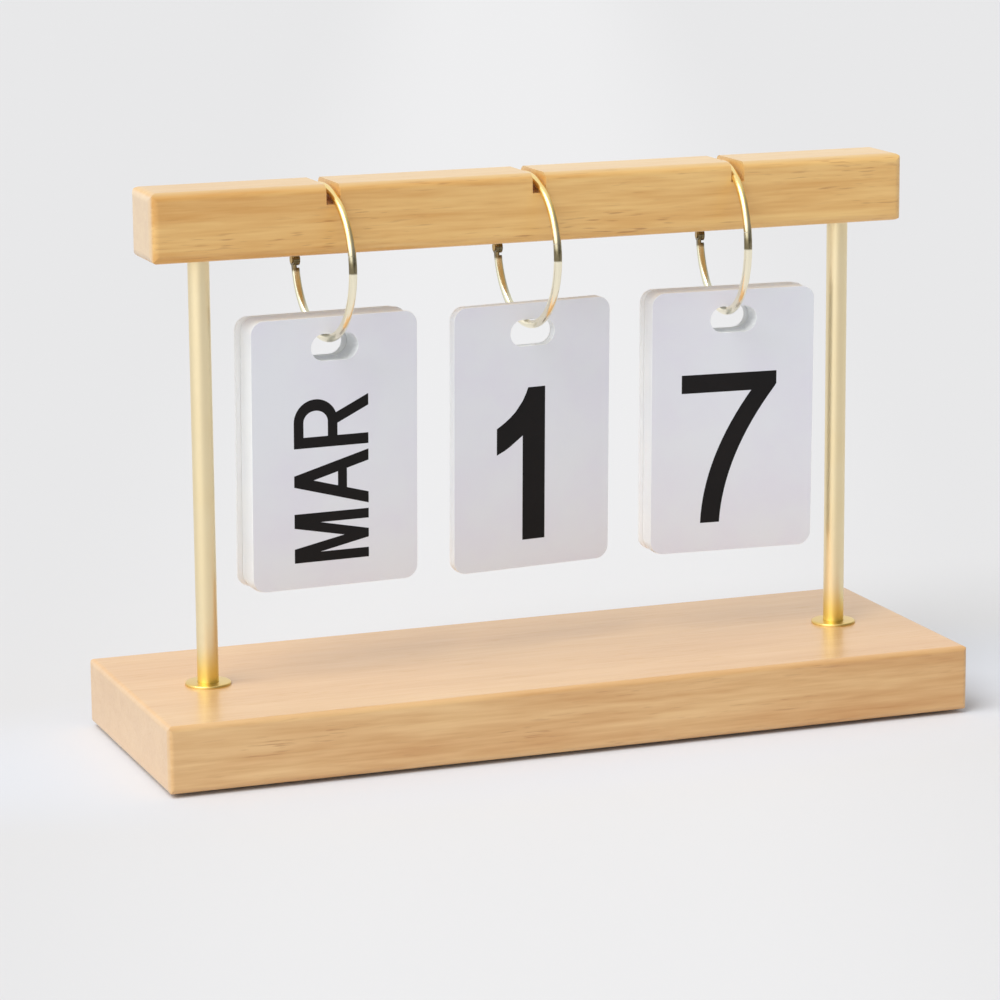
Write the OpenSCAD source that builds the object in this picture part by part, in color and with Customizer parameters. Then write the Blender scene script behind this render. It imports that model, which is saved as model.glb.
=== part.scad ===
// Perpetual desk calendar: a wooden gallows on a plinth, with three binder rings that
// sit in kerfs across its beam. One ring holds the month cards, one the tens of the
// date and one the units. A card is changed by opening its ring, or by fanning the pack.
//
// Millimetres, +Z up, front towards -Y. The origin is on the surface the calendar
// stands on, below the middle of the plinth.

/* [Plinth] */
// Width of the plinth
base_w = 240; // [220:1:300]
// Depth of the plinth, front to back
base_d = 83; // [60:1:110]
// Thickness of the plinth board
base_h = 19; // [15:0.5:28]
// Radius of the plinth's eased edges
base_edge_r = 1.6; // [0.8:0.1:3]

/* [Feet] */
// Diameter of a foot pad
pad_d = 12; // [8:0.5:16]
// Thickness of a foot pad
pad_h = 1; // [0.8:0.1:3]
// Distance from the plinth's sides to the rim of a pad
pad_inset = 7; // [3:0.5:14]

/* [Posts] */
// Diameter of a post
post_d = 6; // [5:0.1:8]
// Distance between the posts' centre lines
post_span = 193; // [186:1:200]
// Length of post that shows between plinth and beam
post_rise = 120.5; // [110:0.5:150]
// Depth of a post's seat in the plinth
base_seat = 6; // [4:0.5:8]
// Depth of a post's seat in the beam
beam_seat = 9; // [6:0.5:10]
// Radial play of a post in its seats and flange
post_play = 0.05; // [0.02:0.01:0.1]
// Diameter of the flange round a post's foot
flange_d = 13; // [11:0.5:18]
// Thickness of the flange
flange_h = 0.8; // [0.5:0.1:2]

/* [Screws] */
// Diameter of the screw that holds a post from below
screw_d = 4; // [3:0.5:4]
// Diameter of the screw's head
screw_head_d = 8; // [7:0.5:9]
// Height of the screw's head
screw_head_h = 2.6; // [2:0.1:3.5]
// Radial play of the screw in the plinth
screw_play = 0.2; // [0.1:0.05:0.5]
// Radial play of the screw's head in its recess
head_play = 0.5; // [0.2:0.1:1]
// Length of screw inside the post
screw_engage = 10; // [6:0.5:20]
// Depth of the screw head's recess under the plinth
recess_depth = 4.5; // [4:0.5:6]
// Width of the screw's hexagon socket, across its corners
socket_d = 2.9; // [2.4:0.1:3.2]
// Depth of the screw's hexagon socket
socket_depth = 1.5; // [1:0.1:1.8]

/* [Beam] */
// Width of the beam
beam_w = 225; // [210:1:260]
// Depth of the beam, front to back
beam_d = 20; // [16:0.5:24]
// Height of the beam
beam_h = 19.5; // [17:0.5:26]
// Radius of the beam's rounded edges
beam_edge_r = 2.4; // [1:0.1:4]
// Width of the kerf that a ring sits in
kerf_w = 4; // [3.8:0.1:5]
// Distance from one ring to the next
ring_pitch = 60.5; // [58:0.5:66]

/* [Rings] */
// Inside diameter of a ring
ring_id = 40; // [38:0.5:44]
// Diameter of the ring's wire
wire_d = 2.3; // [2:0.1:2.4]
// How far a ring's crown lies below the top of the beam
crown_sink = 0.5; // [0:0.1:1.5]
// Clearance of a ring over the floor of its kerf
ring_play = 0.1; // [0.05:0.05:0.3]
// How far the hinge lies below the middle of its ring, in degrees
hinge_drop = 5.5; // [-15:0.5:15]
// Arc of the lapped snap joint, in degrees
snap_arc = 12; // [8:1:16]
// Arc from the hinge to the full wire, in degrees
hinge_arc = 6.5; // [6:0.1:8]
// Diameter of the flattened eye at the hinge
eye_d = 3.4; // [3.2:0.1:4]
// Thickness of one half's eye
eye_t = 0.95; // [0.6:0.05:1]
// Diameter of the hinge rivet
rivet_d = 1; // [0.8:0.1:1.2]
// Diameter of the rivet's heads
rivet_head_d = 2; // [1.6:0.1:2.4]
// Thickness of the rivet's heads
rivet_head_h = 0.2; // [0.1:0.05:0.4]
// Running clearance round the rivet and between the lapped halves
lap_play = 0.04; // [0.03:0.01:0.08]
// Turn of the month ring about the upright, in degrees
month_yaw = 4.5; // [-4.5:0.5:4.5]
// Turn of the tens ring about the upright, in degrees
tens_yaw = 3; // [-4.5:0.5:4.5]
// Turn of the units ring about the upright, in degrees
units_yaw = -4.5; // [-4.5:0.5:4.5]

/* [Cards] */
// Width of a card
card_w = 49.5; // [44:0.5:54]
// Height of a card
card_h = 77; // [60:0.5:86]
// Thickness of a card
card_t = 0.6; // [0.3:0.05:0.65]
// Air between one card and the next
card_gap = 0.2; // [0.12:0.01:0.25]
// Radius of a card's corners
card_corner_r = 3.8; // [2:0.1:6]
// Width of the slot that the ring passes through
slot_w = 14; // [12:0.5:18]
// Height of that slot
slot_h = 7.6; // [6.5:0.1:9]
// Margin from the card's top edge to the slot
slot_margin = 4.8; // [3.5:0.1:6]
// Clearance between a slot's upper edge and the wire it hangs on
hang_play = 0.1; // [0.05:0.05:0.3]
// Lean of the hanging packs towards the back, in degrees
pack_lean = 1.5; // [0:0.5:3]
// Turn of the month cards on their ring, in degrees
month_twist = -1.4; // [-4:0.1:4]
// Turn of the tens cards on their ring, in degrees
tens_twist = 3; // [-4:0.1:4]
// Turn of the units cards on their ring, in degrees
units_twist = 0.6; // [-4:0.1:4]
// How far the front month card has slid sideways on its ring
month_slide = 1.4; // [-2.5:0.1:2.5]
// How far the front tens card has slid sideways on its ring
tens_slide = 1.1; // [-2.5:0.1:2.5]
// How far the front units card has slid sideways on its ring
units_slide = 2; // [-2.5:0.1:2.5]
// How far the backmost card of the month pack has strayed to the left
month_stray = 1.5; // [0:0.1:2]
// How far the backmost card of the tens pack has strayed to the left
tens_stray = 0; // [0:0.1:2]
// How far the backmost card of the units pack has strayed to the left
units_stray = 1.2; // [0:0.1:2]

/* [Hidden] */
MONTHS = ["mar", "apr", "may", "jun", "jul", "aug", "sep", "oct", "nov", "dec", "jan", "feb"];
TENS = ["tens_1", "tens_2", "tens_3", "tens_0"];
UNITS = ["units_7", "units_8", "units_9", "units_0", "units_1",
         "units_2", "units_3", "units_4", "units_5", "units_6"];
PACKS = [MONTHS, TENS, UNITS];
RINGS = ["month", "tens", "units"];

$fn = 64;
LEFT = -1;
RIGHT = 1;
FRONT = -1;
BACK = 1;
cut = 1;

// Heights of the frame
base_top = pad_h + base_h;
beam_bottom = base_top + post_rise;
beam_top = beam_bottom + beam_h;
post_foot = base_top - base_seat;
post_head = beam_bottom + beam_seat;
recess_top = pad_h + recess_depth;

// A ring rests with its inner edge on the two ends of its kerf's floor
ring_xs = [-ring_pitch, 0, ring_pitch];
ring_yaws = [month_yaw, tens_yaw, units_yaw];
wire_r = wire_d / 2;
ring_in_r = ring_id / 2;
ring_r = ring_in_r + wire_r;
ring_z = beam_top - crown_sink - ring_in_r - wire_d;
kerf_floor = ring_z + sqrt(ring_in_r * ring_in_r - beam_d * beam_d / 4) - ring_play;

// Angles round a ring, from its lowest point towards the back
hinge_at = 90 - hinge_drop;
snap_at = hinge_at - 180;
snap_end_gap = 0.3;
hinge_lap = ring_r * hinge_arc * PI / 180 + eye_d;
rivet_grip = eye_t + lap_play;
snap_lap = ring_r * snap_arc * PI / 180 + wire_r;

// Cards, counted from the front one
card_pitch = card_t + card_gap;
slides = [month_slide, tens_slide, units_slide];
strays = [month_stray, tens_stray, units_stray];
twists = [month_twist, tens_twist, units_twist];

// A block with all its edges rounded: three rounded prisms share their volume
module eased_block(w, d, h, r) {
    intersection() {
        linear_extrude(height = h, center = true) rounded_outline(w, d, r);
        rotate([90, 0, 0]) linear_extrude(height = d, center = true) rounded_outline(w, h, r);
        rotate([90, 0, 90]) linear_extrude(height = w, center = true) rounded_outline(d, h, r);
    }
}

module rounded_outline(w, h, r) {
    square([w - 2 * r, h], center = true);
    square([w, h - 2 * r], center = true);
    for (x = [-1, 1], y = [-1, 1])
        translate([x * (w / 2 - r), y * (h / 2 - r)]) circle(r = r);
}

module slot_outline(w, h) {
    square([w - h, h], center = true);
    for (x = [-1, 1]) translate([x * (w - h) / 2, 0]) circle(d = h);
}

// Frame

module base() {
    color("burlywood")
    difference() {
        translate([0, 0, pad_h + base_h / 2])
            eased_block(base_w, base_d, base_h, base_edge_r);
        for (side = [LEFT, RIGHT]) translate([side * post_span / 2, 0, 0]) {
            translate([0, 0, post_foot])
                cylinder(d = post_d + 2 * post_play, h = base_seat + cut);
            translate([0, 0, pad_h - cut])
                cylinder(d = screw_head_d + 2 * head_play, h = recess_depth + cut);
            translate([0, 0, pad_h])
                cylinder(d = screw_d + 2 * screw_play, h = base_h);
        }
    }
}

module pad(side, end) {
    color("dimgray")
    translate([side * (base_w / 2 - pad_inset - pad_d / 2),
               end * (base_d / 2 - pad_inset - pad_d / 2), 0])
        cylinder(d = pad_d, h = pad_h);
}

module post(side) {
    color("gold")
    translate([side * post_span / 2, 0, 0])
    difference() {
        translate([0, 0, post_foot]) cylinder(d = post_d, h = post_head - post_foot);
        translate([0, 0, post_foot - cut])
            cylinder(d = screw_d + 2 * post_play, h = screw_engage + 2 * cut);
    }
}

module flange(side) {
    color("gold")
    translate([side * post_span / 2, 0, base_top])
    difference() {
        cylinder(d = flange_d, h = flange_h);
        translate([0, 0, -cut]) cylinder(d = post_d + 2 * post_play, h = flange_h + 2 * cut);
    }
}

module base_screw(side) {
    color("silver")
    translate([side * post_span / 2, 0, recess_top])
    difference() {
        union() {
            translate([0, 0, -screw_head_h]) cylinder(d = screw_head_d, h = screw_head_h);
            cylinder(d = screw_d, h = post_foot + screw_engage - recess_top);
        }
        translate([0, 0, -screw_head_h - cut])
            cylinder(d = socket_d, h = socket_depth + cut, $fn = 6);
    }
}

module beam() {
    color("burlywood")
    difference() {
        translate([0, 0, beam_bottom + beam_h / 2])
            eased_block(beam_w, beam_d, beam_h, beam_edge_r);
        for (x = ring_xs)
            translate([x - kerf_w / 2, -beam_d / 2 - cut, kerf_floor])
                cube([kerf_w, beam_d + 2 * cut, beam_h]);
        for (side = [LEFT, RIGHT])
            translate([side * post_span / 2, 0, beam_bottom - cut])
                cylinder(d = post_d + 2 * post_play, h = beam_seat + cut);
    }
}

// Rings. A ring is drawn about its own centre, across the beam, then set in its kerf.

module in_kerf(i) {
    translate([ring_xs[i], 0, ring_z]) rotate([0, 0, ring_yaws[i]]) children();
}

// Round wire from one angle to another
module wire(from, to) {
    rotate([0, 90, 0]) rotate([0, 0, from]) rotate_extrude(angle = to - from)
        translate([ring_r, 0]) circle(r = wire_r);
}

// Takes the half away on one side of the wire, for a length that starts at an angle
// and runs towards larger angles (way 1) or smaller ones (way -1)
module lap_cut(angle, way, side, length) {
    rotate([angle, 0, 0])
    translate([side > 0 ? -lap_play : -2 * wire_d, way > 0 ? 0 : -length, -ring_r - 2 * wire_d])
        cube([2 * wire_d + lap_play, length, 4 * wire_d]);
}

// Moves what is drawn along Z onto the hinge's axis
module on_hinge() {
    rotate([-hinge_drop, 0, 0]) translate([0, ring_r, 0]) rotate([0, 90, 0]) children();
}

// What is pressed flat on both sides of the hinge's pair of eyes
module beyond_eyes() {
    on_hinge() for (side = [LEFT, RIGHT])
        translate([0, 0, side * (eye_t + wire_d)])
            cylinder(d = eye_d + wire_d, h = 2 * wire_d, center = true);
}

module ring_upper(i) {
    color("gold")
    in_kerf(i)
    difference() {
        union() {
            wire(hinge_at, snap_at + 360 + snap_arc / 2 - snap_end_gap);
            on_hinge() cylinder(d = eye_d, h = 2 * wire_d, center = true);
        }
        lap_cut(hinge_at + hinge_arc, -1, LEFT, hinge_lap);
        lap_cut(snap_at + 360 - snap_arc / 2, 1, LEFT, snap_lap);
        beyond_eyes();
        on_hinge() cylinder(d = rivet_d + 2 * lap_play, h = 2 * wire_d, center = true);
    }
}

module ring_lower(i) {
    color("gold")
    in_kerf(i)
    difference() {
        union() {
            wire(snap_at - snap_arc / 2 + snap_end_gap, hinge_at);
            on_hinge() cylinder(d = eye_d, h = 2 * wire_d, center = true);
        }
        lap_cut(hinge_at - hinge_arc, 1, RIGHT, hinge_lap);
        lap_cut(snap_at + snap_arc / 2, -1, RIGHT, snap_lap);
        beyond_eyes();
        on_hinge() cylinder(d = rivet_d + 2 * lap_play, h = 2 * wire_d, center = true);
    }
}

module ring_rivet(i) {
    color("goldenrod")
    in_kerf(i)
    on_hinge() {
        cylinder(d = rivet_d, h = 2 * rivet_grip, center = true);
        translate([0, 0, rivet_grip]) cylinder(d = rivet_head_d, h = rivet_head_h);
        translate([0, 0, -rivet_grip - rivet_head_h])
            cylinder(d = rivet_head_d, h = rivet_head_h);
    }
}

// Cards

// Distance of a card from the middle of its pack, towards the back
function card_y(i, k) = (k - (len(PACKS[i]) - 1) / 2) * card_pitch;

// Sideways slide of a card: a pack is flush, but its backmost card may have strayed
function card_x(i, k) = slides[i] - (k < len(PACKS[i]) - 1 ? 0 : strays[i]);

// A card's slot rests on the wire, which is higher away from the ring's lowest point
function slot_top(i, k) =
    let (out = abs(card_y(i, k)) + card_t / 2)
    hang_play - sqrt(ring_in_r * ring_in_r - out * out);

module card(i, k) {
    color("gainsboro")
    in_kerf(i)
    rotate([pack_lean, 0, 0])
    rotate([0, 0, twists[i]])
    translate([card_x(i, k), card_y(i, k), slot_top(i, k) + slot_margin - card_h / 2])
    rotate([90, 0, 0])
    linear_extrude(height = card_t, center = true)
    difference() {
        rounded_outline(card_w, card_h, card_corner_r);
        translate([0, card_h / 2 - slot_margin - slot_h / 2]) slot_outline(slot_w, slot_h);
    }
}

base();
pad(LEFT, FRONT);  // pad_front_left
pad(RIGHT, FRONT);  // pad_front_right
pad(LEFT, BACK);  // pad_back_left
pad(RIGHT, BACK);  // pad_back_right
post(LEFT);  // post_left
post(RIGHT);  // post_right
flange(LEFT);  // flange_left
flange(RIGHT);  // flange_right
base_screw(LEFT);  // base_screw_left
base_screw(RIGHT);  // base_screw_right
beam();
for (i = [0 : len(RINGS) - 1]) {
    ring_upper(i);
    ring_lower(i);
    ring_rivet(i);
    for (k = [0 : len(PACKS[i]) - 1])
        card(i, k);
}
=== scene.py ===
# %% [markdown]
# # A perpetual desk calendar
#
# A wooden plinth, two brass posts and a wooden beam make a small gallows. Three hinged
# binder rings sit in kerfs across the beam, and each one holds a pack of slotted cards.
# The engineering model already gives every piece its true size and place, so this lesson
# dresses it: it keeps the pieces whose shape is finished, remakes the ones that need a
# softer edge, prints the cards, and gives each surface its finish.

import math

import bmesh
import bpy
from mathutils import Matrix, Vector


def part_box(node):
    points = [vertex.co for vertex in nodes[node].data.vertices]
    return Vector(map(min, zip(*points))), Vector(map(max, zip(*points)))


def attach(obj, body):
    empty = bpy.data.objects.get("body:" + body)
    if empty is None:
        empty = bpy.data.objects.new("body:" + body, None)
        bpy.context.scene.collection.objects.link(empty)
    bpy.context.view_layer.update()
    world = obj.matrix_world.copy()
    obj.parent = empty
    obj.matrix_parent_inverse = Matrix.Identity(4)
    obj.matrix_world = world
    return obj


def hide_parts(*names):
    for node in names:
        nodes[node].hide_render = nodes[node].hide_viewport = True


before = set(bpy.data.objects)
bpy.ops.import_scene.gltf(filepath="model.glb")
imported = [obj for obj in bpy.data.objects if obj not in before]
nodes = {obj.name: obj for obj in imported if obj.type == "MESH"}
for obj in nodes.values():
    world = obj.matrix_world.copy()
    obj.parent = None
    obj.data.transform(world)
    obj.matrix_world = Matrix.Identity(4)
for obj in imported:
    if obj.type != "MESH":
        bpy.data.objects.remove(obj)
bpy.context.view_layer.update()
MM = 0.001
print("pieces in the model:", len(nodes))

# %% [markdown]
# ## The camera
#
# A product this small is best seen through a long lens from a little above, so that its
# upright edges stay upright. The heading, the tilt and a trace of roll are turned into the
# three axes of the camera, which are the columns of its matrix.

# %% Camera
HEADING, TILT, ROLL = (math.radians(a) for a in (20.4247, 11.8833, -0.46097))
LENS = 141.892
STANDPOINT = Vector((-393.15, -1032.17, 297.33)) * MM

ahead = Vector((math.sin(HEADING) * math.cos(TILT),
                math.cos(HEADING) * math.cos(TILT), -math.sin(TILT)))
level = ahead.cross(Vector((0, 0, 1))).normalized()
upward = level.cross(ahead)
across = math.cos(ROLL) * level + math.sin(ROLL) * upward
upward = -math.sin(ROLL) * level + math.cos(ROLL) * upward

lens = bpy.data.cameras.new("camera")
lens.lens, lens.sensor_width, lens.clip_end = LENS, 36, 50
camera = bpy.data.objects.new("camera", lens)
camera.matrix_world = Matrix.Translation(STANDPOINT) @ Matrix(
    (across, upward, -ahead)).transposed().to_4x4()
bpy.context.scene.collection.objects.link(camera)
bpy.context.scene.camera = camera
print("camera stands", round((STANDPOINT - Vector((0, 0, 0.08))).length, 3), "m away")

# %% [markdown]
# ## Shader sums in plain Python
#
# A finish is a small sum over a surface: a bit of noise, a threshold, a mix of two
# colours. Wiring every Math node by hand hides that sum. One small class wraps a socket
# and turns `a * 2 + b` into nodes, so a finish can be read as an expression. Colours and
# vectors go through Mix and Vector Math, because a Math node would turn them grey.


# %% Fields and finishes
class Field:
    """A number, colour or vector that varies over a surface."""

    def __init__(self, wiring, socket):
        self.wiring, self.socket = wiring, socket

    def sum(self, operation, *others):
        return self.wiring.node("Math", {"operation": operation}, self, *others)

    def __add__(self, other):
        return self.sum("ADD", other)

    def __sub__(self, other):
        return self.sum("SUBTRACT", other)

    def __rsub__(self, other):
        return self.wiring.node("Math", {"operation": "SUBTRACT"}, other, self)

    def __mul__(self, other):
        return self.sum("MULTIPLY", other)

    def __truediv__(self, other):
        return self.sum("DIVIDE", other)

    __radd__, __rmul__ = __add__, __mul__

    def step(self, low, high):
        """0 below low, 1 above high and a smooth rise between."""
        return self.wiring.node("MapRange", {"interpolation_type": "SMOOTHSTEP"},
                                self, low, high, 0.0, 1.0)


class Wiring:
    """A node tree to which expressions add their nodes."""

    def __init__(self, tree):
        self.tree = tree

    def node(self, kind, settings=None, *inputs, out=0, **named):
        """Adds a node, sets it up, then gives its sockets values or links."""
        made = self.tree.nodes.new("ShaderNode" + kind)
        for key, value in (settings or {}).items():
            setattr(made, key, value)
        pairs = list(enumerate(inputs)) + [(k.replace("_", " "), v) for k, v in named.items()]
        for key, value in pairs:
            self.feed(made.inputs[key], value)
        return Field(self, made.outputs[out])

    def feed(self, socket, value):
        if isinstance(value, Field):
            self.tree.links.new(value.socket, socket)
        else:
            socket.default_value = value

    def mix(self, amount, first, second):
        """Mixes two colours, each a triple or a Field."""
        made = self.tree.nodes.new("ShaderNodeMix")
        made.data_type = "RGBA"
        # A Mix node keeps sockets for every type: 0 is the factor, 6 and 7 are the colours.
        for place, value in ((0, amount), (6, first), (7, second)):
            self.feed(made.inputs[place], (*value, 1) if isinstance(value, tuple) else value)
        return Field(self, made.outputs[2])

    def place(self, scale=(1, 1, 1), offset=(0, 0, 0)):
        """Object coordinates in millimetres, stretched by scale."""
        here = self.node("TexCoord", out="Object")
        return self.node("Mapping", None, Vector=here, Location=offset,
                         Scale=tuple(s / MM for s in scale))

    def coordinate(self, axis):
        """One of the object coordinates, in millimetres."""
        return self.node("SeparateXYZ", None, self.place(), out=axis)

    def noise(self, where, detail=2.0, rough=0.5, warp=0.0):
        """Cloudy noise; the stretch given to place sets its size along each axis."""
        return self.node("TexNoise", None, Vector=where, Scale=1.0, Detail=detail,
                         Roughness=rough, Distortion=warp)


class Finish(Wiring):
    """A material whose nodes are added by expressions."""

    def __init__(self, name):
        self.material = bpy.data.materials.new(name)
        self.material.use_nodes = True
        self.shader = self.material.node_tree.nodes["Principled BSDF"]
        super().__init__(self.material.node_tree)

    def bump(self, height, depth, strength):
        """A normal from a height field; depth is in millimetres."""
        made = self.node("Bump", None, Strength=strength, Distance=depth * MM, Height=height)
        self.set(Normal=made)

    def set(self, **sockets):
        for key, value in sockets.items():
            self.feed(self.shader.inputs[key.replace("_", " ")], value)


def srgb(*levels):
    """A colour given as screen levels, made linear for the shader."""
    return tuple(v / 12.92 if v <= 0.04045 else ((v + 0.055) / 1.055) ** 2.4
                 for v in (n / 255 for n in levels))


# %% [markdown]
# ## Wood
#
# Plinth and beam are a pale, straight-grained plantation hardwood under a satin lacquer.
# A flat picture of grain would look pasted on, so the figure is a solid: growth rings are
# shells round a far-off pith that runs along the board. Cut lengthwise they show as long
# lines, and on the two ends as arcs, with no seam between faces. Finer layers lie on top:
# silky fibre streaks, short brown pores that are dashes along the grain and dots on the
# ends, and a slow drift of tone along the board. The ends are painted paler, a painted sheen
# for the light they catch, and the top is pulled to its own tone, painted for the light on it.
# The top is also rubbed smoother, so its figure is calmer.


# %% Wood
EASED = 1.2  # height in mm over which the front turns into the top
RING_WANDER = 3.4  # how many rings a waver of the figure may cross
PORE_BROWN = srgb(162, 102, 56)


def make_wood(name, pale, deep, pith, offset, ring_pitch, vivid, drift, half_length, top,
              top_light_tint, end_sheen_tint, gloss):
    """vivid is the contrast of the figure, drift the change of tone per mm of length."""
    wood = Finish(name)
    along, above = wood.coordinate("X"), wood.coordinate("Z")
    ends = along.sum("ABSOLUTE").step(half_length - 0.9, half_length - 0.2)
    crown = above.step(top - EASED, top - 0.2)
    calm = vivid - 0.55 * vivid * crown
    slow = wood.noise(wood.place((0.006, 0.03, 0.03), offset), 2.0)
    wander = wood.noise(wood.place((0.012, 0.05, 0.05), offset), 3.0, 0.55)
    across = wood.place((0.0, 1.0, 1.0), (0, pith[0], pith[1]))
    reach = wood.node("VectorMath", {"operation": "LENGTH"}, across, out="Value")
    rings = wood.node("Math", {"operation": "SINE"},
                      (reach / ring_pitch + wander * RING_WANDER) * (2 * math.pi))
    rings = rings * 0.5 + 0.5
    fibre = wood.noise(wood.place((0.05, 0.9, 0.9), offset), 3.0, 0.5)
    streak = wood.noise(wood.place((0.014, 0.17, 0.17), offset), 3.0, 0.6, 0.5)
    pore = wood.noise(wood.place((0.14, 1.9, 1.9), offset), 1.0, 0.4)
    sparse = wood.noise(wood.place((0.02, 0.16, 0.16), offset), 2.0).step(0.42, 0.66)
    pores = pore.step(0.58, 0.78) * (0.15 + 0.85 * sparse)

    figure = (rings - 0.5) * 0.1 + (streak - 0.5) * 1.3 + (fibre - 0.5) * 0.8
    tone = (0.35 + figure * calm + (slow - 0.5) * 0.8 + along * drift).step(-0.4, 1.1)
    body = wood.mix(tone, pale, deep)
    body = wood.mix(pores * calm * 0.42, body, PORE_BROWN)
    # Painted light: the top is pulled toward a tone set for the light on it, and the ends toward
    # a paler tone that is a painted sheen.
    body = wood.mix(crown * 0.3, body, top_light_tint)
    body = wood.mix(ends * 0.7, body, end_sheen_tint)
    wood.set(Base_Color=body, Roughness=0.36 + fibre * 0.14 + pores * 0.2)
    wood.shader.inputs["IOR"].default_value = 1.5
    wood.shader.inputs["Coat Weight"].default_value = gloss
    wood.shader.inputs["Coat Roughness"].default_value = 0.25
    wood.bump(fibre * 0.35 - pores, 0.05, 0.5)
    return wood.material


plinth_far, beam_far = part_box("base")[1] / MM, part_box("beam")[1] / MM
plinth_wood = make_wood(
    "plinth_wood", pale=srgb(239, 199, 141), deep=srgb(201, 143, 80), pith=(-12, 130),
    offset=(3.1, 0.4, 7.7), ring_pitch=5.5, vivid=1.0, drift=0.0008,
    half_length=plinth_far.x, top=plinth_far.z,
    top_light_tint=srgb(224, 182, 128), end_sheen_tint=srgb(218, 186, 147), gloss=0.6)
beam_wood = make_wood(
    "beam_wood", pale=srgb(243, 201, 129), deep=srgb(216, 158, 82), pith=(9, -240),
    offset=(17.3, 5.2, 1.9), ring_pitch=4.6, vivid=1.3, drift=-0.0014,
    half_length=beam_far.x, top=beam_far.z,
    top_light_tint=srgb(205, 190, 150), end_sheen_tint=srgb(222, 204, 178), gloss=0.4)
print("woods:", plinth_wood.name, beam_wood.name)

# %% [markdown]
# ## Metals
#
# The posts are pale satin brass: rolled rod, rubbed with fine paper and lacquered. A deeper
# gold is painted at the foot of each post, a painted reflection of the wood below. The flanges
# are given a deeper, yellower brass, a painted reflection of the wood and the darker things
# round them. The rings are a brighter plated wire, with a golden painted reflection of the
# beam on the upper half, painted shade on the back arm and at the hinge, and painted shadow
# in the snap. A metal is almost all reflection, so its detail lives in the roughness and in a
# bump of hair lines far finer than a millimetre. One shader with a hook for painted light
# serves all of them, the steel screws and the dark rivets too.


# %% Metals
def make_metal(name, colour, shade, rough, hair, depth, painted_light_hook=None):
    metal = Finish(name)
    lines = metal.noise(metal.place(hair), 3.0, 0.6)
    cloud = metal.noise(metal.place((0.05, 0.05, 0.05)), 3.0)
    coat = metal.mix(cloud.step(0.35, 0.7) * 0.5, colour, shade)
    # The painted light of this metal, where one is given.
    if painted_light_hook:
        coat = painted_light_hook(metal, coat)
    metal.set(Base_Color=coat,
              Roughness=rough + (lines - 0.5) * 0.12 + (cloud - 0.5) * 0.08)
    metal.shader.inputs["Metallic"].default_value = 1.0
    metal.bump(lines, depth, 0.5)
    return metal.material


def foot_wood_reflection(metal, coat):
    """Painted reflection: the post is a deeper gold next to the plinth, for the wood it mirrors.
    """
    z = metal.coordinate("Z")
    # Painted reflection of the wood, fading out above the foot.
    return metal.mix(0.85 - 0.85 * z.step(22.0, 33.0), coat, srgb(245, 217, 108))


def ring_painted_light(metal, coat):
    """Painted light on a ring: a golden reflection of the beam on the upper half, shade on the
    back arm, shadow in the snap and shade at the hinge.
    """
    # Heights and depths are those of the joints themselves, in millimetres.
    y, z = metal.coordinate("Y"), metal.coordinate("Z")
    # Painted reflection: the upper half is tinted gold for the beam it mirrors.
    coat = metal.mix(z.step(137.0, 152.0), coat, srgb(244, 217, 146))
    # Painted shade: the back arm is greyed.
    coat = metal.mix(0.8 * y.step(2.0, 9.0), coat, srgb(214, 212, 186))
    # Painted shadow in the gap of the snap at the front, in two depths of shade.
    front = z.step(136.4, 137.0) * (1.0 - y.step(-12.0, -8.0))
    snap = front * (1.0 - z.step(140.5, 145.0))
    coat = metal.mix(snap, coat, srgb(176, 168, 140))
    coat = metal.mix(front * (1.0 - z.step(139.2, 140.8)), coat, srgb(130, 120, 92))
    # Painted shade at the hinge, just under the beam.
    hinge = z.step(131.6, 132.6) * (1.0 - z.step(138.0, 140.0)) * y.step(8.0, 12.0)
    return metal.mix(hinge, coat, srgb(120, 106, 76))


post_brass = make_metal("post_brass", srgb(243, 226, 186), srgb(240, 220, 174),
                        0.36, (0.3, 0.3, 3.0), 0.002, foot_wood_reflection)
# The flange's deeper, yellower tone is a painted reflection of the wood and the darker things
# round it.
flange_reflection_brass = make_metal("flange_reflection_brass", srgb(228, 198, 122), srgb(214, 180, 102),
                          0.34, (2.0, 2.0, 2.0), 0.002)
ring_plate = make_metal("ring_plate", srgb(251, 244, 220), srgb(248, 238, 208),
                        0.2, (1.5, 1.5, 1.5), 0.002, ring_painted_light)
rivet_plate = make_metal("rivet_plate", srgb(196, 160, 92), srgb(150, 120, 70),
                         0.3, (3.0, 3.0, 3.0), 0.01)
screw_steel = make_metal("screw_steel", srgb(190, 191, 194), srgb(160, 160, 164),
                         0.32, (6.0, 6.0, 6.0), 0.01)

# %% [markdown]
# ## Card, print and rubber
#
# The cards are thick board with a smooth coating: nearly white, a little cool, with a
# faint cloudiness in the gloss. The backmost card of a pack has a whiter face, painted light
# for the brighter strip it shows beside the pack. Cut edges are white too, because no coating
# covers the fibres there. The print is flat black that keeps a trace of the sheet's tooth.
# The feet are dark rubber with a dusty bloom.


# %% Card, print and rubber
def make_plain(name, colour, shade, grain, rough, depth):
    plain = Finish(name)
    cloud = plain.noise(plain.place((0.06, 0.06, 0.06)), 3.0)
    tooth = plain.noise(plain.place((grain, grain, grain)), 3.0, 0.6)
    plain.set(Base_Color=plain.mix(cloud.step(0.3, 0.75), colour, shade),
              Roughness=rough + (tooth - 0.5) * 0.12 + (cloud - 0.5) * 0.06)
    plain.bump(tooth, depth, 0.4)
    return plain.material


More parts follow.
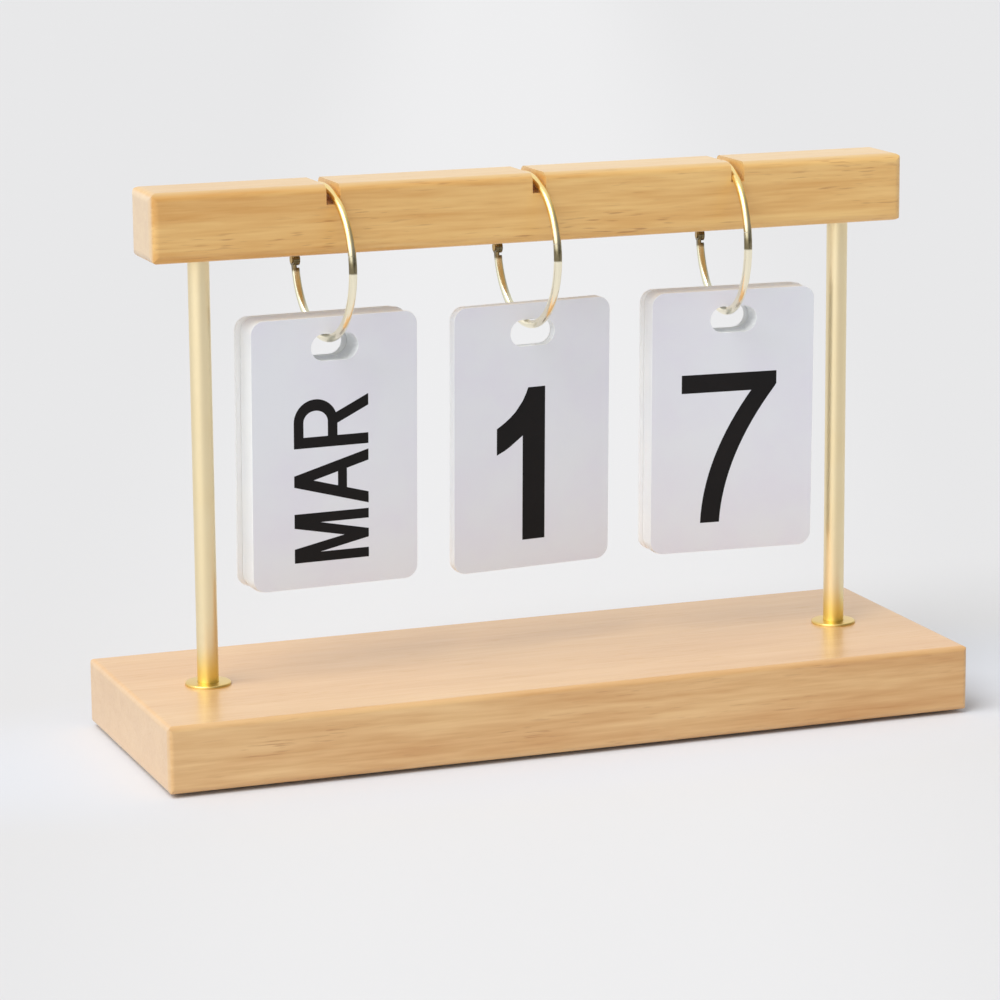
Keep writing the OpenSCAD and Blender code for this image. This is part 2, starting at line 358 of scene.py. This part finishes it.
card_face = make_plain("card_face", srgb(233, 236, 243), srgb(231, 231, 242), 2.5, 0.46, 0.012)
card_painted_light_face = make_plain("card_painted_light_face", srgb(254, 255, 255), srgb(252, 253, 255), 2.5, 0.46, 0.012)
card_edge = make_plain("card_edge", srgb(250, 253, 255), srgb(246, 250, 254), 5.0, 0.8, 0.02)
print_ink = make_plain("print_ink", srgb(16, 12, 13), srgb(10, 8, 9), 3.0, 0.62, 0.01)
print_ink.node_tree.nodes["Principled BSDF"].inputs["Specular IOR Level"].default_value = 0.25
foot_rubber = make_plain("foot_rubber", srgb(62, 58, 56), srgb(48, 45, 44), 4.0, 0.75, 0.04)

# %% [markdown]
# ## Dressing the pieces that are already finished
#
# The board and the beam have their rounded edges, kerfs and bores in the engineering
# model. Posts, screws, feet and rings are right as well, so they only get a material in
# their slots. Their meshes are never touched.

# %% Finish of each kept piece
FINISHES = {"base": plinth_wood, "beam": beam_wood, "base_screw": screw_steel,
            "pad": foot_rubber, "post": post_brass, "flange": flange_reflection_brass,
            "ring": ring_plate, "card": card_face}

for name, piece in nodes.items():
    kind = max((k for k in FINISHES if name.startswith(k)), key=len)
    coat = rivet_plate if name.endswith("rivet") else FINISHES[kind]
    for slot in piece.material_slots:
        slot.material = coat
print("kept pieces dressed:", len(nodes))

# %% [markdown]
# ## One helper for every new piece
#
# Each new piece is drawn flat or upright round its own origin in millimetres, because
# round numbers are easy to read. The helper scales the drawing to metres, carries it to
# its place, turns all faces outwards and leaves the object itself at the origin, so that
# patterns in object coordinates fall where they do on the engineering pieces.


# %% From a drawing in millimetres to a piece
def into_piece(bm, name, place, materials, smooth=False):
    bmesh.ops.scale(bm, vec=(MM,) * 3, verts=bm.verts)
    bmesh.ops.transform(bm, matrix=place, verts=bm.verts)
    bmesh.ops.recalc_face_normals(bm, faces=bm.faces)
    mesh = bpy.data.meshes.new(name)
    bm.to_mesh(mesh)
    bm.free()
    for material in materials:
        mesh.materials.append(material)
    for face in mesh.polygons:
        face.use_smooth = smooth
    piece = bpy.data.objects.new(name, mesh)
    bpy.context.scene.collection.objects.link(piece)
    return piece


def raise_by(bm, faces, height):
    """Extrudes flat faces along +Z into a solid."""
    raised = bmesh.ops.extrude_face_region(bm, geom=faces)["geom"]
    bmesh.ops.translate(bm, vec=(0, 0, height),
                        verts=[v for v in raised if isinstance(v, bmesh.types.BMVert)])


def soften(bm, edges, width, segments):
    bmesh.ops.bevel(bm, geom=edges, offset=width, offset_type="OFFSET", affect="EDGES",
                    segments=segments, profile=0.5, material=-1)


# %% [markdown]
# ## The flanges
#
# A thin brass washer covers the seam where each post enters the plinth. Two circles and a
# bridge make the ring of faces, an extrusion gives it height, and a bevel rolls the outer
# rim. That rim is what catches the light: a sharp one would look like a paper disc.

# %% Flanges
for side in ("left", "right"):
    low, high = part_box("flange_" + side)
    post_low, post_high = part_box("post_" + side)
    rim_r = (high.x - low.x) / 2 / MM
    hole_r = (post_high.x - post_low.x) / 2 / MM + 0.05
    bm = bmesh.new()
    for radius in (rim_r, hole_r):
        bmesh.ops.create_circle(bm, segments=96, radius=radius)
    bmesh.ops.bridge_loops(bm, edges=bm.edges[:])
    raise_by(bm, bm.faces[:], (high.z - low.z) / MM)
    top = (high.z - low.z) / MM
    rim = [e for e in bm.edges if all(
        abs(v.co.z - top) < 1e-4 and v.co.length > rim_r - 0.1 for v in e.verts)]
    soften(bm, rim, 0.45, 4)
    centre = (low + high) / 2
    flange = into_piece(bm, "flange_rim_" + side, Matrix.Translation((centre.x, centre.y, low.z)),
                        [flange_reflection_brass], True)
    flange.data.set_sharp_from_angle(angle=math.radians(40))
    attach(flange, "stand")
    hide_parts("flange_" + side)
print("flange radius", round(rim_r, 2), "mm")

# %% [markdown]
# ## The cards
#
# Every card is the same punched sheet. A square is stretched to size and its corners are
# rounded by a vertex bevel; a smaller one becomes the slot. Filling between the two
# outlines leaves the hole open. The rim is softened and takes its own whiter material.
# Where a card hangs is read from its engineering solid, so the two can't disagree.

# %% Where each card hangs
RING_TURN = {"month": 4.5, "tens": 3.0, "units": -4.5}
CARD_TWIST = {"month": -1.4, "tens": 3.0, "units": 0.6}
PACK_LEAN = 1.5


def turned(angle, axis):
    return Matrix.Rotation(math.radians(angle), 4, axis)


def pack_of(node):
    return node.split("_")[1] if node.count("_") == 2 else "month"


def card_place(node):
    """The card's own axes and centre, and its size in millimetres."""
    pack = pack_of(node)
    turn = turned(RING_TURN[pack], "Z") @ turned(PACK_LEAN, "X") @ turned(CARD_TWIST[pack], "Z")
    spots = [turn.inverted() @ v.co for v in nodes[node].data.vertices]
    low = Vector(min(p[i] for p in spots) for i in range(3))
    high = Vector(max(p[i] for p in spots) for i in range(3))
    size = (high - low) / MM
    return turn @ Matrix.Translation((low + high) / 2) @ turned(90, "X"), size


# %% Punch the cards
CORNER_R, SLOT_W, SLOT_H, SLOT_MARGIN = 3.8, 14.0, 7.6, 4.8
CORNER_STEPS = 8
BACKMOST = ("card_feb", "card_tens_0", "card_units_6")


def rounded_plate(bm, width, height, radius, middle=(0, 0)):
    """A flat plate with rounded corners, as one face."""
    corners = bmesh.ops.create_grid(bm, x_segments=1, y_segments=1, size=0.5)["verts"]
    bmesh.ops.scale(bm, vec=(width, height, 1), verts=corners)
    bmesh.ops.translate(bm, vec=(*middle, 0), verts=corners)
    bmesh.ops.bevel(bm, geom=corners, offset=radius, offset_type="OFFSET",
                    affect="VERTICES", segments=CORNER_STEPS, profile=0.5, material=-1)


def punch_card(node):
    place, size = card_place(node)
    bm = bmesh.new()
    rounded_plate(bm, size.x, size.z, CORNER_R)
    rounded_plate(bm, SLOT_W, SLOT_H, SLOT_H / 2 - 0.001,
                  (0, size.z / 2 - SLOT_MARGIN - SLOT_H / 2))
    bmesh.ops.delete(bm, geom=bm.faces[:], context="FACES_ONLY")
    bmesh.ops.remove_doubles(bm, verts=bm.verts[:], dist=0.01)
    bmesh.ops.triangle_fill(bm, edges=bm.edges[:], use_beauty=True)
    raise_by(bm, bm.faces[:], size.y)
    bmesh.ops.translate(bm, vec=(0, 0, -size.y / 2), verts=bm.verts)
    bmesh.ops.recalc_face_normals(bm, faces=bm.faces)
    bm.normal_update()
    rims = [e for e in bm.edges if e.is_manifold
            and abs(e.link_faces[0].normal.z - e.link_faces[1].normal.z) > 0.5]
    soften(bm, rims, 0.07, 2)
    bm.normal_update()
    for face in bm.faces:
        face.material_index = int(abs(face.normal.z) < 0.99)
    # The backmost cards get the whiter face: painted light.
    face = card_painted_light_face if node in BACKMOST else card_face
    return into_piece(bm, node + "_sheet", place, [face, card_edge])


cards = [name for name in nodes if name.startswith("card_")]
for node in cards:
    sheet = punch_card(node)
    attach(sheet, node)
    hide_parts(node)
print("cards punched:", len(cards))

# %% [markdown]
# ## The figures on the cards
#
# The cards carry plain upright figures and month names. A font file would be one way to
# print them, but drawing them shows how letters are built: nearly all are made of a few
# bands of one width. A band is a strip of faces bent along a bar, a bow or an arc, and a
# plate is a flat shape for the few joints that bands can't make. Shapes that cross are
# joined by a Boolean union, so each figure is one thin closed film of ink. Heights run
# from 0 at the foot to 1 at the top of a figure.

# %% Bands
FILM = 0.02  # thickness of the ink in mm


def band(bm, shape, steps):
    """Bends a flat strip: shape(along, over) gives the place of a point, both from 0 to 1."""
    grid = bmesh.ops.create_grid(bm, x_segments=steps, y_segments=1, size=0.5)
    for v in grid["verts"]:
        v.co.xy = shape(v.co.x + 0.5, v.co.y + 0.5)


def bow(x0, y0, x1, y1, width, bulge=0.0, flare=0.0):
    """A bar with level ends, from one point to another, which may belly and widen."""
    def shape(along, over):
        belly = bulge * 4 * along * (1 - along)
        return (x0 + (x1 - x0) * along + belly + (over - 0.5) * (width + flare * along),
                y0 + (y1 - y0) * along)
    return lambda bm: band(bm, shape, 16 if bulge else 1)


def slab(x0, x1, y0, y1):
    return bow((x0 + x1) / 2, y0, (x0 + x1) / 2, y1, x1 - x0)


def arc(cx, cy, rx, ry, start, end, width=0.146, height=0.129):
    """Part of an oval, given by its outer radii and its thickness at the sides and the top."""
    def shape(along, over):
        a = math.radians(start + (end - start) * along)
        return (cx + (rx - over * width) * math.cos(a), cy + (ry - over * height) * math.sin(a))
    return lambda bm: band(bm, shape, max(8, round(abs(end - start) / 6)))


def plate(*points):
    return lambda bm: bm.faces.new([bm.verts.new((x, y, 0)) for x, y in points])


# %% Letters
STEM = slab(0, 0.138, 0, 1)
LETTERS = {
    "A": [bow(0.072, 0, 0.349, 1, 0.144), bow(0.626, 0, 0.349, 1, 0.144),
          slab(0.16, 0.54, 0.292, 0.413)],
    "B": [STEM, slab(0.05, 0.31, 0.871, 1), slab(0.05, 0.33, 0.446, 0.572),
          slab(0.05, 0.33, 0, 0.129), arc(0.3, 0.723, 0.275, 0.277, -90, 90),
          arc(0.32, 0.286, 0.29, 0.286, -90, 90)],
    "C": [arc(0.32, 0.5, 0.32, 0.5, 42, 318)],
    "D": [STEM, slab(0.05, 0.26, 0.871, 1), slab(0.05, 0.26, 0, 0.129),
          arc(0.25, 0.5, 0.37, 0.5, -90, 90)],
    "E": [STEM, slab(0.05, 0.52, 0.871, 1), slab(0.05, 0.48, 0.446, 0.569),
          slab(0.05, 0.53, 0, 0.129)],
    "F": [STEM, slab(0.05, 0.52, 0.871, 1), slab(0.05, 0.47, 0.436, 0.561)],
    "G": [arc(0.33, 0.5, 0.33, 0.5, 45, 336), slab(0.34, 0.64, 0.395, 0.518),
          slab(0.498, 0.64, 0.3, 0.45)],
    "J": [slab(0.322, 0.468, 0.26, 1), arc(0.234, 0.26, 0.234, 0.26, 180, 360)],
    "L": [STEM, slab(0.05, 0.52, 0, 0.129)],
    "M": [slab(0, 0.125, 0, 1), slab(0.506, 0.631, 0, 1),
          plate((0.26, 0), (0.371, 0), (0.578, 1), (0.45, 1), (0.3155, 0.333),
                (0.181, 1), (0.053, 1))],
    "N": [slab(0, 0.125, 0, 1), slab(0.475, 0.6, 0, 1), bow(0.52, 0, 0.08, 1, 0.16)],
    "O": [arc(0.34, 0.5, 0.34, 0.5, 0, 360)],
    "P": [STEM, slab(0.05, 0.31, 0.871, 1), slab(0.05, 0.31, 0.416, 0.545),
          arc(0.31, 0.708, 0.29, 0.292, -90, 90)],
    "R": [STEM, slab(0.05, 0.33, 0.871, 1), slab(0.05, 0.33, 0.416, 0.545),
          arc(0.325, 0.708, 0.292, 0.292, -90, 90), bow(0.568, 0, 0.332, 0.49, 0.147)],
    "S": [arc(0.3, 0.7275, 0.285, 0.2725, 25, 270),
          arc(0.3, 0.292, 0.3, 0.292, 90, -155)],
    "T": [slab(0, 0.58, 0.871, 1), slab(0.221, 0.359, 0, 0.95)],
    "U": [slab(0, 0.146, 0.285, 1), slab(0.454, 0.6, 0.285, 1),
          arc(0.3, 0.3, 0.3, 0.3, 180, 360)],
    "V": [bow(0.315, 0, 0.072, 1, 0.144), bow(0.315, 0, 0.558, 1, 0.144)],
    "Y": [bow(0.31, 0.4, 0.076, 1, 0.152), bow(0.31, 0.4, 0.544, 1, 0.152),
          slab(0.241, 0.379, 0, 0.47)],
}

# %% Numerals
WIDE, FLAT = 0.148, 0.128


def loop(cx, cy, rx, ry, start=0, end=360):
    return arc(cx, cy, rx, ry, start, end, WIDE, FLAT)


NUMERALS = {
    "0": [loop(0, 0.5, 0.32, 0.5)],
    "1": [plate((-0.012, 1), (-0.0252, 0.965), (-0.0508, 0.914), (-0.1035, 0.845),
                (-0.14, 0.812), (-0.1767, 0.783), (-0.235, 0.746), (-0.235, 0.573),
                (-0.1767, 0.6), (-0.14, 0.6225), (-0.1035, 0.649), (-0.05, 0.688),
                (-0.05, 0), (0.11, 0), (0.11, 1))],
    "2": [loop(-0.01, 0.69, 0.3, 0.31, 172, -43), slab(-0.335, 0.31, 0, 0.128),
          plate((0.2264, 0.499), (0.165, 0.425), (0.06, 0.322), (-0.05, 0.222), (-0.128, 0.1),
                (-0.3, 0.02), (-0.335, 0.05), (-0.322, 0.115), (-0.275, 0.19),
                (-0.185, 0.285), (-0.07, 0.39), (0.04, 0.495), (0.1098, 0.578))],
    "3": [loop(-0.02, 0.728, 0.275, 0.272, 165, -90), loop(-0.01, 0.292, 0.31, 0.292, 90, -165),
          slab(-0.12, 0.0, 0.456, 0.584)],
    "4": [slab(0.07, 0.215, 0, 1), slab(-0.35, 0.33, 0.215, 0.335),
          bow(-0.2725, 0.335, 0.135, 1, 0.155)],
    "5": [slab(-0.222, 0.28, 0.872, 1), bow(-0.225, 0.44, -0.1545, 0.999, 0.135),
          loop(-0.01, 0.325, 0.32, 0.325, 142, -160)],
    "6": [loop(0, 0.315, 0.32, 0.315), loop(0.07, 0.46, 0.39, 0.54, 196, 62)],
    "7": [plate((-0.333, 1), (-0.333, 0.879), (0.295, 0.879), (0.32, 0.914), (0.32, 1)),
          bow(-0.1315, 0.01, 0.2365, 0.9, 0.1315, -0.0815, 0.018)],
    "8": [loop(0, 0.742, 0.275, 0.258), loop(0, 0.288, 0.325, 0.288)],
    "9": [loop(0, 0.685, 0.32, 0.315), loop(-0.07, 0.54, 0.39, 0.54, 16, -118)],
}

# %% [markdown]
# ## Printing
#
# The numerals stand upright and fill more than half of the card. A month name is turned a
# quarter to the left and reads upwards, which lets three letters use the card's height.
# Each film of ink lies on the front of its card and rides with it.


# %% Join the bands of one figure
def film_mesh(bands):
    """One closed film, in units of the figure's height."""
    parts = []
    for draw in bands:
        bm = bmesh.new()
        draw(bm)
        bmesh.ops.remove_doubles(bm, verts=bm.verts[:], dist=1e-5)
        raise_by(bm, bm.faces[:], 1.0)
        bmesh.ops.recalc_face_normals(bm, faces=bm.faces)
        mesh = bpy.data.meshes.new("band")
        bm.to_mesh(mesh)
        bm.free()
        part = bpy.data.objects.new("band", mesh)
        bpy.context.scene.collection.objects.link(part)
        parts.append(part)
    for other in parts[1:]:
        union = parts[0].modifiers.new("union", "BOOLEAN")
        union.operation, union.solver, union.object = "UNION", "EXACT", other
    bpy.context.view_layer.update()
    joined = bpy.data.meshes.new_from_object(
        parts[0].evaluated_get(bpy.context.evaluated_depsgraph_get()))
    for part in parts:
        bpy.data.objects.remove(part)
    return joined


drawn = {sign: film_mesh(bands) for sign, bands in {**LETTERS, **NUMERALS}.items()}
print("figures drawn:", len(drawn))

# %% Print every card
DIGIT_TALL, DIGIT_FOOT, DIGIT_MIDDLE = 44.5, -30.4, -0.8
MONTH_TALL, MONTH_FOOT, MONTH_MIDDLE, MONTH_GAP = 22.3, 9.93, -7.55, 0.07


def print_card(node):
    place, size = card_place(node)
    lift = Matrix.Translation((0, 0, size.y / 2))
    bm = bmesh.new()
    if pack_of(node) == "month":
        word = node.split("_")[1].upper()
        widths = [max(v.co.x for v in drawn[c].vertices) for c in word]
        at = -(sum(widths) + MONTH_GAP * (len(word) - 1)) / 2
        for sign, width in zip(word, widths):
            old = set(bm.verts)
            bm.from_mesh(drawn[sign])
            bmesh.ops.translate(bm, vec=(at, 0, 0), verts=[v for v in bm.verts if v not in old])
            at += width + MONTH_GAP
        tall = MONTH_TALL
        lay = Matrix.Translation((MONTH_FOOT, MONTH_MIDDLE, 0)) @ turned(90, "Z")
    else:
        bm.from_mesh(drawn[node[-1]])
        tall = DIGIT_TALL
        lay = Matrix.Translation((DIGIT_MIDDLE, DIGIT_FOOT, 0))
    bmesh.ops.scale(bm, vec=(tall, tall, FILM), verts=bm.verts)
    bmesh.ops.transform(bm, matrix=lift @ lay, verts=bm.verts)
    return into_piece(bm, node + "_print", place, [print_ink])


for node in cards:
    mark = print_card(node)
    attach(mark, node)
print("cards printed:", len(cards))

# %% [markdown]
# ## Floor and light
#
# The calendar stands on a seamless pale sheet. One broad sun, a window high on the left,
# models the edges. A second, very wide and faint, is the light that comes back from a
# white wall, and an even white sky fills the rest. Polished metal needs something to
# reflect: for glossy rays only, the sky is brightest in front on the left and dim in front
# on the right. Light is also painted into the sheet: a paler, cooler pool close round the
# plinth, and painted shade that greys it a little at the sides.

# %% Floor
floor_finish = Finish("floor_sheet")
SIDEWAYS = (math.cos(HEADING), -math.sin(HEADING), 0.0)
ROUND_THE_PLINTH = (0.35, 1.0, 0.0)

aside = floor_finish.node("VectorMath", {"operation": "DOT_PRODUCT"}, floor_finish.place(),
                          SIDEWAYS, out="Value").sum("ABSOLUTE")
beside = floor_finish.node("VectorMath", {"operation": "LENGTH"},
                           floor_finish.place(ROUND_THE_PLINTH), out="Value")
# Painted light: the sheet is painted greyer at the sides and has a paler, cooler pool painted
# round the plinth.
sheet = floor_finish.mix(aside.step(40, 170), srgb(229, 229, 230), srgb(223, 223, 224))
sheet = floor_finish.mix(0.8 - 0.8 * beside.step(42, 90), sheet, srgb(226, 230, 238))
floor_finish.set(Base_Color=sheet, Roughness=0.9)
floor_finish.shader.inputs["Specular IOR Level"].default_value = 0.0
bm = bmesh.new()
bmesh.ops.create_grid(bm, x_segments=1, y_segments=1, size=12000)
floor = into_piece(bm, "floor", Matrix.Identity(4), [floor_finish.material])

# %% Light
DIM_CORNER, BRIGHT_CORNER = (0.8, -0.6, 0.0), (-0.86, -0.5, 0.1)

for name, energy, spread, source in (("window", 1.95, 44, (-0.55, -0.2, 0.8)),
                                     ("white_wall", 0.5, 90, (-0.9, -0.25, 0.35))):
    sun = bpy.data.lights.new(name, "SUN")
    sun.energy, sun.angle = energy, math.radians(spread)
    lamp = bpy.data.objects.new(name, sun)
    lamp.rotation_euler = Vector(source).to_track_quat("Z", "Y").to_euler()
    bpy.context.scene.collection.objects.link(lamp)

sky = bpy.data.worlds.new("sky")
sky.use_nodes = True
bpy.context.scene.world = sky
room = Wiring(sky.node_tree)
background = sky.node_tree.nodes["Background"]
rays = room.node("LightPath", out="Is Glossy Ray")
toward = room.node("TexCoord", out="Generated")
dim = room.node("VectorMath", {"operation": "DOT_PRODUCT"}, toward, DIM_CORNER, out="Value")
bright = room.node("VectorMath", {"operation": "DOT_PRODUCT"}, toward, BRIGHT_CORNER, out="Value")
mirrored = 1.0 - 0.75 * dim.step(0.1, 0.85) + 0.8 * bright.step(0.7, 0.98)
room.feed(background.inputs["Strength"], 0.53 * (1 - rays) + mirrored * rays)
background.inputs["Color"].default_value = (1, 1, 1, 1)

bpy.context.scene.view_settings.view_transform = "Standard"
